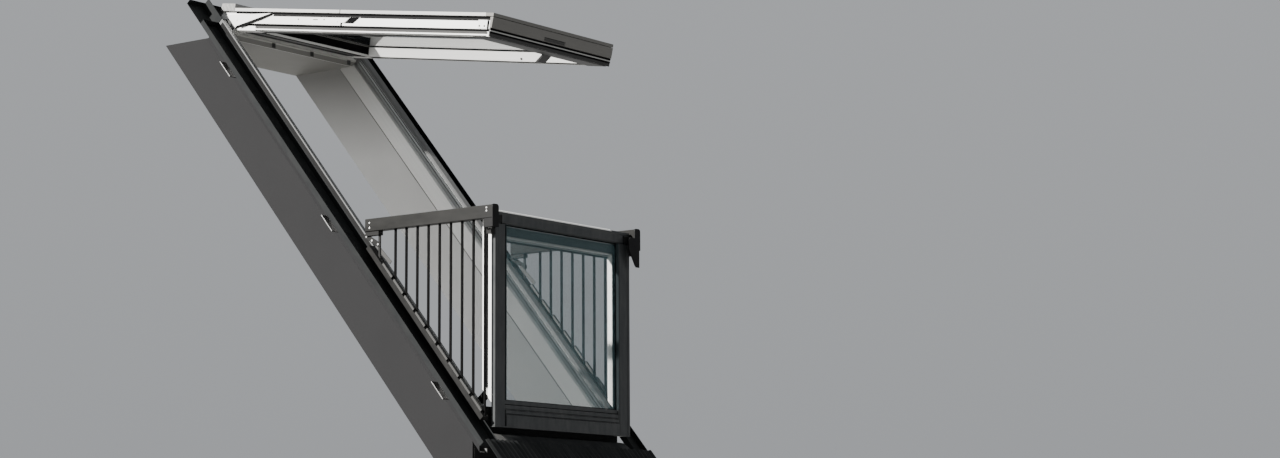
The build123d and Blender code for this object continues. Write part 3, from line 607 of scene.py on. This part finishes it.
def stile_edges():
    """Thin lines along the stile and the arm: painted shadow under the cover, a seal carrier,
    painted shade on the lower edge and under the stile, and painted shadow at the hinge plate.
    """
    outer = HALF_UPPER
    skin = (outer - PROUD, outer + PROUD)
    # Painted shadow of the cover's overhang, on the stile and on the arm
    stile_painted_shadow, arm_painted_shadow, painted_shadow_depth = (-1574, -886), (-827, -352), (-35, -31.2)
    painted_shadow_face, arm_painted_shadow_face = outer + 0.5, ARM_OUTER + PROUD
    painted_shadows = [box((outer - SUNK, painted_shadow_face), stile_painted_shadow, painted_shadow_depth),
              box((ARM_OUTER - SUNK, arm_painted_shadow_face), arm_painted_shadow, painted_shadow_depth)]
    piece("upper_side_painted_shadows", UPPER, mirrored(painted_shadows), DARK_SEAL_AND_SHADE, SHARP)
    line, carrier_depth, edge_shade_depth = (-1628, -240), (-89, -80), (UPPER_UNDER + 0.5, -97.5)
    carrier = box(skin, line, carrier_depth)
    piece("upper_seal_carriers", UPPER, mirrored([carrier]), GREY_STRIP, SHARP)
    # Painted shade: a dark line along the lower edge of the side face
    edge_shade_strip = box(skin, line, edge_shade_depth)
    piece("upper_side_painted_edge_shade", UPPER, mirrored([edge_shade_strip]), DARK_SEAL_AND_SHADE, SHARP)
    # Painted shade: grey strips over the white undersides of the stiles
    under_across = (UPPER_SIGHT + 1, outer - 24)
    under_depth = (UPPER_UNDER - 0.5, UPPER_UNDER + OFF_FACE)
    under_shade = box(under_across, (-UPPER_SIGHT_FAR, -UPPER_SIGHT_NEAR), under_depth)
    piece("stile_under_painted_shade", UPPER, mirrored([under_shade]), GREY_STRIP, SHARP)
    # Painted shadow: a black strip along the lower edge of the hinge plate
    plate_edge = [(-335, -21), (-102, -89), (-104.2, -96.5), (-337.2, -28.5)]
    plate_shadow = prism(plate_edge, skin)
    piece("plate_edge_painted_shadows", UPPER, mirrored([plate_shadow]), RUBBER_AND_SHADOW, SHARP)


def upper_corner_fittings():
    """A small plate with two screws, and a slit, at each outer corner of the sash."""
    outer = HALF_UPPER
    plate_face, plate_along, plate_depth = outer + 1.6, (-1626, -1576), (-67, -32)
    plate = box((outer - SUNK, plate_face), plate_along, plate_depth)
    piece("sash_corner_plates", UPPER, mirrored([plate]), WHITE_METAL)
    screw_radius, screw_height, screw_depth = 4.0, 1.4, -57
    screws = [disc(plate_face, along, screw_depth, screw_radius, screw_height)
              for along in (-1584, -1612)]
    piece("sash_corner_screws", UPPER, mirrored(screws), MID_GREY)
    slit_across, slit_along, slit_depth = (outer - 1, outer + 0.8), (-1636.5, -1627), (-69.5, -31.5)
    slit = box(slit_across, slit_along, slit_depth)
    piece("sash_corner_slits", UPPER, mirrored([slit]), RUBBER_AND_SHADOW, SHARP)


def arm_details():
    """Recesses, slots and pins of the hinge arm, a stud, and the joint in the side cover."""
    on_stile, on_arm = HALF_UPPER - SUNK, ARM_OUTER - SUNK
    recess_face, shoulder_face, slot_face = HALF_UPPER + 1.4, ARM_OUTER - 1, ARM_OUTER + 0.3
    recess_outline = [(-831.5, -31.5), (-884, -31.5), (-846, -59), (-797, -59)]
    shoulder_along, shoulder_depth = (-778.5, -774.3), (-78, -57.3)
    recesses = [prism(recess_outline, (on_stile, recess_face)),
                box((on_stile, shoulder_face), shoulder_along, shoulder_depth)]
    piece("arm_recesses", UPPER, mirrored(recesses), RUBBER_AND_SHADOW, SHARP)
    slot_along, slot_depth = (-634, -603), (-48, -44.5)
    hole_radius, hole_height = 3.4, 0.6
    holes = [disc(on_arm, along, depth, hole_radius, hole_height)
             for along, depth in ((-512, -46), (-672, -45))]
    slots = [box((on_arm, slot_face), slot_along, slot_depth), *holes]
    piece("arm_slots", UPPER, mirrored(slots), RUBBER_AND_SHADOW, SHARP)
    stud_start, stud_along, stud_depth = UPPER_SIGHT - 4, -1200, -89
    stud_radius, stud_height = 5, 4.2
    stud = disc(stud_start, stud_along, stud_depth, stud_radius, stud_height)
    piece("stile_studs", UPPER, mirrored([stud]), DARK_PROFILE_AND_SHADE)
    pin_height = 1.6
    pins = [disc(on_arm, along, depth, radius, pin_height)
            for along, depth, radius in ((-752, -52, 4.5), (-120, -55, 5))]
    piece("hinge_pins", UPPER, mirrored(pins), WHITE_METAL)
    joint_across = (HALF_COVER - 2, HALF_COVER + PROUD)
    joint_along, joint_depth = (-766, -762), (-14.8, 0.2)
    joint = box(joint_across, joint_along, joint_depth)
    piece("upper_cover_joints", UPPER, mirrored([joint]), RUBBER_AND_SHADOW, SHARP)


def front_profile():
    """Dark profile at the outer rail, with strips and seals under the front cover."""
    far = -UPPER_LENGTH
    across, under_half = (-HALF_COVER, HALF_COVER), 402
    profile_face, profile_top = far - 5, -66
    under_end, under_face = -UPPER_SIGHT_FAR + 6, UPPER_UNDER - 2.5
    profile = [box(across, (profile_face, far - OFF_FACE), (UPPER_UNDER, profile_top)),
               box((-under_half, under_half), (far, under_end), (under_face, UPPER_UNDER))]
    piece("outer_rail_profile", UPPER, profile, DARK_PROFILE_AND_SHADE)
    bright_face, bright_depth = far - 7.5, (-79.5, -74)
    bright = box(across, (bright_face, profile_face), bright_depth)
    piece("outer_rail_bright_strip", UPPER, [bright], LIGHT_STRIP)
    grey_face, grey_depth = far - 6.5, (-94.5, -90.5)
    grey = box(across, (grey_face, profile_face), grey_depth)
    piece("outer_rail_grey_strip", UPPER, [grey], GREY_STRIP)
    top_seal_face, top_seal_depth = far - 9, (-73, profile_top)
    seal_face, seal_depth = far - 8, (-87, -80)
    seals = [box(across, (top_seal_face, profile_face), top_seal_depth),
             box(across, (seal_face, profile_face), seal_depth)]
    piece("outer_rail_seals", UPPER, seals, RUBBER_AND_SHADOW)


def front_vent():
    """Shallow slot in the lower half of the front cover with a grey grille."""
    face = -UPPER_LENGTH - FRONT_COVER
    slot_face, lip_face, bar_face, root = face - 1.2, face - 1.6, face - 2, face + 3
    slot_foot, slot_top, lip_top = -64.5, -49, -47
    across, slot_edge = (-62, 82), 0.8
    slot = box(across, (slot_face, root), (slot_foot, slot_top))
    piece("front_vent_slot", UPPER, [slot], VENT_GREY, slot_edge)
    lip = box(across, (lip_face, root), (slot_top, lip_top))
    piece("front_vent_lip", UPPER, [lip], RUBBER_AND_SHADOW, SHARP)
    bar_count, bar_start, bar_width, bar_pitch, bar_depth = 15, -58, 5, 9, (-62, -51)
    starts = [bar_start + bar_pitch * k for k in range(bar_count)]
    bars = [box((start, start + bar_width), (bar_face, face), bar_depth) for start in starts]
    piece("front_vent_grille", UPPER, bars, DARK_PROFILE_AND_SHADE, SHARP)


def hood_ribs():
    rib_count, rib_start, rib_width, rib_pitch = 9, -98, 4, 9
    rib_across, rib_depth = (HALF_COVER, HALF_COVER + 1.2), (-12, 17)
    starts = [rib_start + rib_pitch * k for k in range(rib_count)]
    ribs = [box(rib_across, (start, start + rib_width), rib_depth) for start in starts]
    piece("hood_ribs", UPPER, mirrored(ribs), LIGHT_STRIP)


upper_glazing()
hinged_rail()
stile_seals()
stile_edges()
upper_corner_fittings()
arm_details()
front_profile()
front_vent()
hood_ribs()


# Lower sash: heights count from its foot and depths from its outer face


def lower_glazing():
    low, high, half = LOWER_PANE_LOW, LOWER_PANE_HIGH, LOWER_PANE_HALF
    outer_sheet, inner_sheet, bar_width = (-25, -20.3), (-43.7, -38), 10
    glazing("lower", LOWER, LOWER_GLASS, half, (low, high), outer_sheet, inner_sheet, bar_width)
    reveal_across, reveal_depth = (LOWER_SIGHT - 1.6, LOWER_SIGHT + 0.4), (-19.8, -2)
    reveal = box(reveal_across, (LOWER_SIGHT_LOW, LOWER_SIGHT_HIGH), reveal_depth)
    piece("lower_reveal_strips", LOWER, mirrored([reveal]), SLATE, SHARP)
    lap, gasket_width, gasket_depth = 0.5, 3.5, (-20.2, -17)
    gasket = ring(LOWER_SIGHT + lap, (LOWER_SIGHT_LOW - lap, LOWER_SIGHT_HIGH + lap),
                  gasket_width, gasket_depth)
    piece("lower_pane_gasket", LOWER, gasket, RUBBER_AND_SHADOW)
    border_half, border_inner, border_top, border_depth = half - 1, 374, 806, (-26.2, -25.1)
    border_sides = (low + 1, border_top)
    border = [box((-border_half, border_half), (border_top, high - 1), border_depth),
              box((-border_half, -border_inner), border_sides, border_depth),
              box((border_inner, border_half), border_sides, border_depth)]
    piece("lower_pane_border", LOWER, border, SLATE, SHARP)
    across, bead_heights, lip_heights, inside = (-393, 393), (796, 807), (788, 796), (-69.5, -66)
    piece("lower_top_bead", LOWER, [box(across, bead_heights, inside)], LIGHT_STRIP)
    piece("lower_top_seal", LOWER, [box(across, lip_heights, inside)], RUBBER_AND_SHADOW,
          SHARP)


def lower_sash_details():
    """Seams of the stepped bottom cover, side seals, corner caps and a painted highlight on the top
    edge.
    """
    clear, seam_root = HALF_SASH - 76, 1
    seams = ((54, 1.2, 0), (57.5, 2, 4), (72.5, 1.2, 4), (77, 2, 8), (96, 3, 12))
    lines = [box((-clear, clear), (low, low + tall), (-depth - seam_root, -depth + PROUD))
             for low, tall, depth in seams]
    piece("lower_ledge_seams", LOWER, lines, RUBBER_AND_SHADOW, SHARP)
    seal_across = (HALF_SASH - 7.5, HALF_SASH - 2)
    seal_heights, seal_depth = (165, 898), (-49.5, -41.5)
    seal = box(seal_across, seal_heights, seal_depth)
    piece("lower_side_seals", LOWER, mirrored([seal]), RUBBER_AND_SHADOW)
    cap_across, slit_across = (HALF_SASH - 44, HALF_SASH - 8), (HALF_SASH - 42, HALF_SASH - 39.5)
    cap_heights, slit_heights = (856, 886), (850, 888)
    cap_back, cap_face, slit_face = -2.5, 0.6, 0.9
    cap = box(cap_across, cap_heights, (cap_back, cap_face))
    piece("lower_corner_caps", LOWER, mirrored([cap]), MID_GREY)
    slit = box(slit_across, slit_heights, (cap_back, slit_face))
    piece("lower_corner_slits", LOWER, mirrored([slit]), RUBBER_AND_SHADOW, SHARP)
    # Painted highlight: a white strip standing in for the glint of light on the rounded top edge
    highlight_section = [(899.5, 1.2), (901.5, 1.2), (908, -9.5), (906, -13), (899.5, -6)]
    highlight_across = (-447, 334)
    piece("lower_top_painted_highlight", LOWER, [prism(highlight_section, highlight_across)], PAINTED_EDGE_HIGHLIGHT,
          SHARP)


lower_glazing()
lower_sash_details()


# Side railings


def railing_details():
    """Screws and front sleeves of the handrails, and the small fittings at their back ends."""
    outer = RAIL_OUTER
    screw_radius, screw_height = 4, 1.6
    screws = [disc(outer - SUNK, y, z, screw_radius, screw_height)
              for y, z in ((663, 902.5), (663, 880), (8, 909), (8, 896))]
    piece("handrail_screws", LEVEL, mirrored(screws), ZINC)
    sleeve_across, sleeve_end = (outer - 0.3, outer + 0.7), 46
    sleeve_heights = (RAIL_TOP - 54, RAIL_TOP - 4)
    sleeve = box(sleeve_across, (RAIL_FRONT, sleeve_end), sleeve_heights)
    piece("handrail_sleeves", LEVEL, mirrored([sleeve]), MID_GREY)
    link_outline = [(705, 858), (690, 858), (612, 812), (612, 797), (627, 797), (705, 843)]
    link_inner, link_outer = 495.5, 498.5
    link = prism(link_outline, (link_inner, link_outer))
    piece("rear_links", LEVEL, mirrored([link]), MID_GREY)
    pin_radius, pin_height = 4.5, 2
    pins = [disc(link_outer, y, z, pin_radius, pin_height)
            for y, z in ((692, 846), (660, 827), (625, 808))]
    piece("rear_link_screws", LEVEL, mirrored(pins), ZINC)
    stay_outline, stay_across = [(648, 800), (636, 812), (553, 729), (565, 717)], (488, 491)
    stay = prism(stay_outline, stay_across)
    piece("rear_stays", LEVEL, mirrored([stay]), GREY_STRIP)


railing_details()


# Fixed frame and linings


def head_details():
    """Clips, light edge, lip and seal band at the head of the opening."""
    half = HALF_OPENING - 0.5
    edge_out, lip_out = 50.0, 17.0
    edge_y, edge_z = roof_point(HEAD_INNER, edge_out)
    clip_places, clip_half, clip_thick, clip_height = (-398, -141, 116, 372), 11, 1.6, 24
    clips = [box((x - clip_half, x + clip_half), (edge_y - clip_thick, edge_y),
                 (edge_z - clip_height, edge_z)) for x in clip_places]
    piece("head_lining_clips", SCENE, clips, DARK_PROFILE_AND_SHADE)
    band_face, edge_face = HEAD_INNER - 0.8, HEAD_INNER - 2.5
    band_foot, edge_foot, edge_top = 17.5, 45, 54.8
    edge = box((-half, half), (edge_face, HEAD_INNER + SUNK), (edge_foot, edge_top))
    piece("head_light_edge", ROOF, [edge], HEAD_EDGE)
    lip_y, lip_z = roof_point(HEAD_INNER, lip_out)
    lip_level, lip_heights = (lip_y - 1, lip_y + 2), (lip_z - 0.7, lip_z + 1.8)
    lip = box((-half, half), lip_level, lip_heights)
    piece("head_lining_lip", SCENE, [lip], BRIGHT_EDGE, SHARP)
    band = box((-half, half), (band_face, HEAD_INNER + SUNK), (band_foot, edge_foot))
    piece("head_seal_band", ROOF, [band], HEAD_GREY)


def jamb_details():
    """Seals along each jamb, and the joint between the jamb and the lining."""
    leg_across, leg_depth = (HALF_FRAME + 2.8, HALF_FRAME + 3.4), (60.5, 78)
    leg = box(leg_across, (JAMB_SEAL_START, HEAD_INNER + 30), leg_depth)
    piece("jamb_cover_seals", ROOF, mirrored([leg]), DARK_SEAL_AND_SHADE, SHARP)
    along, fin_depth, lip_depths = (JAMB_SEAL_START, HEAD_INNER), (31, 66), ((60, 62), (47, 48.5))
    lip_inner, fin_inner, fin_outer = 441.5, 444.6, 446.8
    fin = box((fin_inner, fin_outer), along, fin_depth)
    piece("jamb_fin_seals", ROOF, mirrored([fin]), SEAL_GREY)
    joint_across, joint_depth = (LINING_INNER - 0.6, LINING_INNER), (TIMBER_BACK - 5, TIMBER_BACK)
    joint = box(joint_across, (LINING_START, HEAD_INNER + 48), joint_depth)
    piece("lining_joints", ROOF, mirrored([joint]), HEAD_GREY, SHARP)
    lips = [box((lip_inner, fin_outer), along, lip_depth) for lip_depth in lip_depths]
    piece("jamb_seal_lips", ROOF, mirrored(lips), DARK_PROFILE_AND_SHADE)


head_details()
jamb_details()

# Camera of the photograph: fitted to measured points of the window

FOCAL_PX = 2701.3
IMAGE_WIDTH_PX = 1280
SENSOR_WIDTH = 36.0
CLIP_END = 100
CAMERA_AT = (-9.0464, -7.1772, -0.6512)
CAMERA_TURN = radians(53.3547)
CAMERA_PITCH = radians(7.8938)
CAMERA_ROLL = radians(-0.3368)

ahead = Vector((sin(CAMERA_TURN) * cos(CAMERA_PITCH), cos(CAMERA_TURN) * cos(CAMERA_PITCH),
                sin(CAMERA_PITCH)))
right = Vector((cos(CAMERA_TURN), -sin(CAMERA_TURN), 0))
up = right.cross(ahead)
rolled_right = right * cos(CAMERA_ROLL) + up * sin(CAMERA_ROLL)
rolled_up = up * cos(CAMERA_ROLL) - right * sin(CAMERA_ROLL)
turn = Matrix((rolled_right, rolled_up, -ahead)).transposed().to_4x4()
camera_data = bpy.data.cameras.new("camera")
camera_data.sensor_fit = "HORIZONTAL"
camera_data.sensor_width = SENSOR_WIDTH
camera_data.lens = SENSOR_WIDTH * FOCAL_PX / IMAGE_WIDTH_PX
camera_data.clip_end = CLIP_END
camera = bpy.data.objects.new("camera", camera_data)
camera.matrix_world = Matrix.Translation(CAMERA_AT) @ turn
bpy.context.scene.collection.objects.link(camera)
bpy.context.scene.camera = camera

# Floor and light

FLOOR_Z = -0.9
REACH = 40.0
FLOOR_COLOR = (0.22, 0.22, 0.218)
SKY_COLOR = (0.93, 0.96, 1.0, 1)
SKY_STRENGTH = (0.4, 0.62)
SKY_SPAN = (0.05, 0.9)
SUN_TOWARDS = (0.80, -0.375, -0.468)
SUN_POWER = 17.0
SUN_ANGLE = radians(1.5)
SUN_COLOR = (1.0, 0.98, 0.95)

floor_mesh = bpy.data.meshes.new("floor")
floor_mesh.from_pydata([(-REACH, -REACH, FLOOR_Z), (REACH, -REACH, FLOOR_Z),
                        (REACH, REACH, FLOOR_Z), (-REACH, REACH, FLOOR_Z)], [], [(0, 1, 2, 3)])
floor = bpy.data.objects.new("floor", floor_mesh)
floor.data.materials.append(finish("floor_pale", FLOOR_COLOR, 0.7, grain=even(2), tone=0.02,
                                   bump=0.02))
bpy.context.scene.collection.objects.link(floor)

world = bpy.data.worlds.new("studio")
world.use_nodes = True
sky = world.node_tree
sky_points = add_node(sky, "ShaderNodeTexCoord")
sky_split = add_node(sky, "ShaderNodeSeparateXYZ")
sky.links.new(sky_points.outputs["Generated"], sky_split.inputs["Vector"])
backdrop = sky.nodes["Background"]
backdrop.inputs["Color"].default_value = SKY_COLOR
sky.links.new(spread(sky, sky_split.outputs["Z"], *SKY_STRENGTH, *SKY_SPAN),
              backdrop.inputs["Strength"])
bpy.context.scene.world = world

sun_data = bpy.data.lights.new("key", "SUN")
sun_data.energy = SUN_POWER
sun_data.angle = SUN_ANGLE
sun_data.color = SUN_COLOR
sun = bpy.data.objects.new("key", sun_data)
sun.rotation_euler = Vector(SUN_TOWARDS).to_track_quat("-Z", "Y").to_euler()
bpy.context.scene.collection.objects.link(sun)
